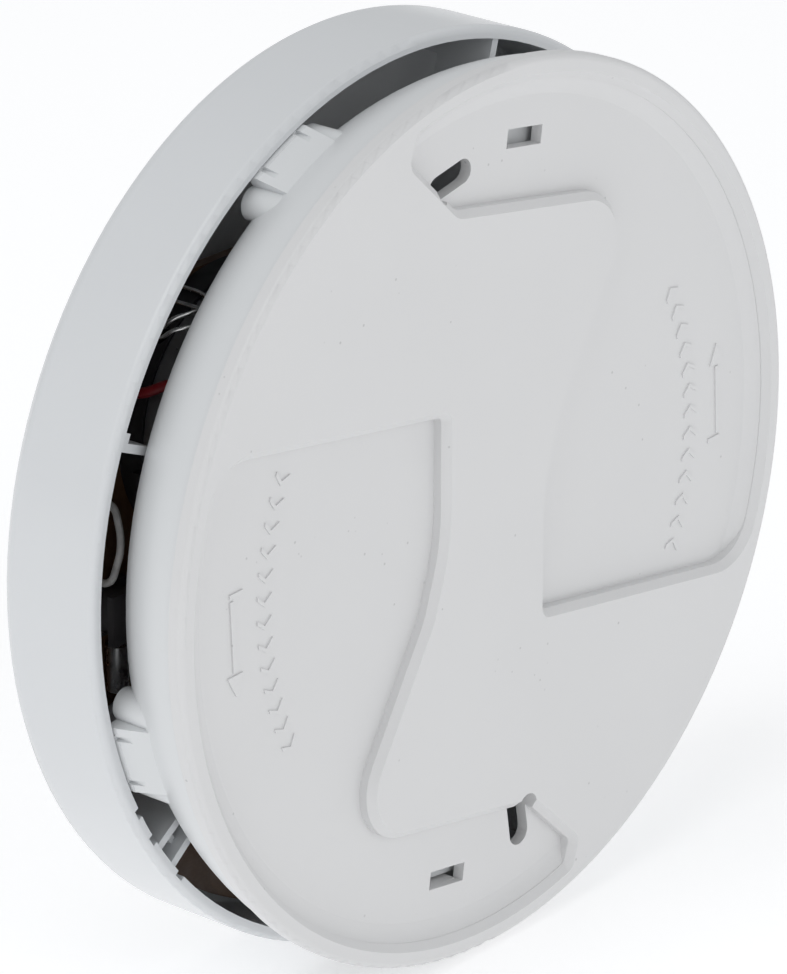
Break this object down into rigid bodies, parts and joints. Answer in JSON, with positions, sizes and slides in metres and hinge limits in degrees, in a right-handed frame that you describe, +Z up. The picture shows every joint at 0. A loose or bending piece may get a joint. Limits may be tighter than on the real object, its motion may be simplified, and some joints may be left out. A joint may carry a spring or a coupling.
{
  "type": "smoke detector",
  "caption": "Slim round battery smoke detector on a twist-off wall plate, with an open smoke gap behind the front cover and a press-to-test button.",
  "frame": {"origin": "centre of the mounting plate's wall face", "axes": "+Y points into the wall, so the detector stands out along -Y and its front faces -Y; +Z is up, the lower screw slot below the upper"},
  "size_m": [0.127, 0.035, 0.127],
  "materials": {
    "plate_plastic": "fine satin mould finish",
    "housing_plastic": "satin",
    "cover_plastic": "glossy",
    "board_laminate": "brown paper laminate",
    "zinc_screw": "bright zinc",
    "chip_black": "moulded epoxy",
    "ceramic_tan": "fired ceramic",
    "can_metal": "drawn metal can",
    "ferrite": "ferrite with lacquer",
    "capacitor_sleeve": "bare drawn aluminium",
    "chamber_black": "fine matt black",
    "screen_metal": "woven wire",
    "optic_clear": "clear epoxy",
    "optic_black": "dark epoxy",
    "tinned_wire": "tinned",
    "cell_label": "wrapped steel can",
    "contact_metal": "nickel plated",
    "wire_red": "soft insulation",
    "wire_black": "soft insulation",
    "wire_white": "soft insulation",
    "sounder_plastic": "satin black",
    "gasket": "soft",
    "disc_brass": "bare brass",
    "ceramic_silvered": "silvered ceramic",
    "spring_steel": "spring wire",
    "button_plastic": "glossy",
    "led_red": "tinted epoxy",
    "pipe_clear": "clear acrylic"
  },
  "bodies": {
    "plate": {"mounting_plate": "plate_plastic"},
    "detector": {"rear_housing": "housing_plastic", "front_cover": "cover_plastic", "circuit_board": "board_laminate", "board_screws": "zinc_screw", "microcontroller": "chip_black", "resistors": "chip_black", "ceramic_capacitors": "ceramic_tan", "transistors": "chip_black", "crystal_can": "can_metal", "boost_inductor": "ferrite", "reservoir_capacitor": "capacitor_sleeve", "chamber_base": "chamber_black", "chamber_labyrinth": "chamber_black", "chamber_cap": "chamber_black", "insect_screen": "screen_metal", "infrared_emitter": "optic_clear", "infrared_emitter_leads": "tinned_wire", "photodiode": "optic_black", "photodiode_leads": "tinned_wire", "battery_cell_inner": "cell_label", "battery_cell_outer": "cell_label", "contact_positive": "contact_metal", "contact_negative": "contact_metal", "contact_link": "contact_metal", "battery_springs": "spring_steel", "battery_lead_red": "wire_red", "battery_lead_black": "wire_black", "white_jumper_wire": "wire_white", "sounder_housing": "sounder_plastic", "sounder_gasket": "gasket", "piezo_disc": "disc_brass", "piezo_ceramic": "ceramic_silvered", "sounder_retainer": "sounder_plastic", "sounder_wire_red": "wire_red", "sounder_wire_black": "wire_black", "button_spring": "spring_steel", "tact_switch": "chip_black", "status_led": "led_red", "light_pipe": "pipe_clear"},
    "button": {"test_button": "button_plastic"},
    "plunger": {"switch_plunger": "sounder_plastic"}
  },
  "joints": [
    {"name": "detector_twist", "type": "hinge", "parent": "plate", "child": "detector", "pos_m": [0, 0, 0], "axis": [0, -1, 0], "range_deg": [0, 15]},
    {"name": "button_press", "type": "slide", "parent": "detector", "child": "button", "axis": [0, 1, 0], "range_m": [0, 0.0015], "stiffness_N_per_m": 1500, "springref_m": -0.0005, "deforming": ["button_spring"]},
    {"name": "plunger_press", "type": "slide", "parent": "detector", "child": "plunger", "axis": [0, 1, 0], "range_m": [0, 0.0003]}
  ],
  "couplings": [
    {"joint": "plunger_press", "follows": "button_press", "ratio": 0.2}
  ]
}
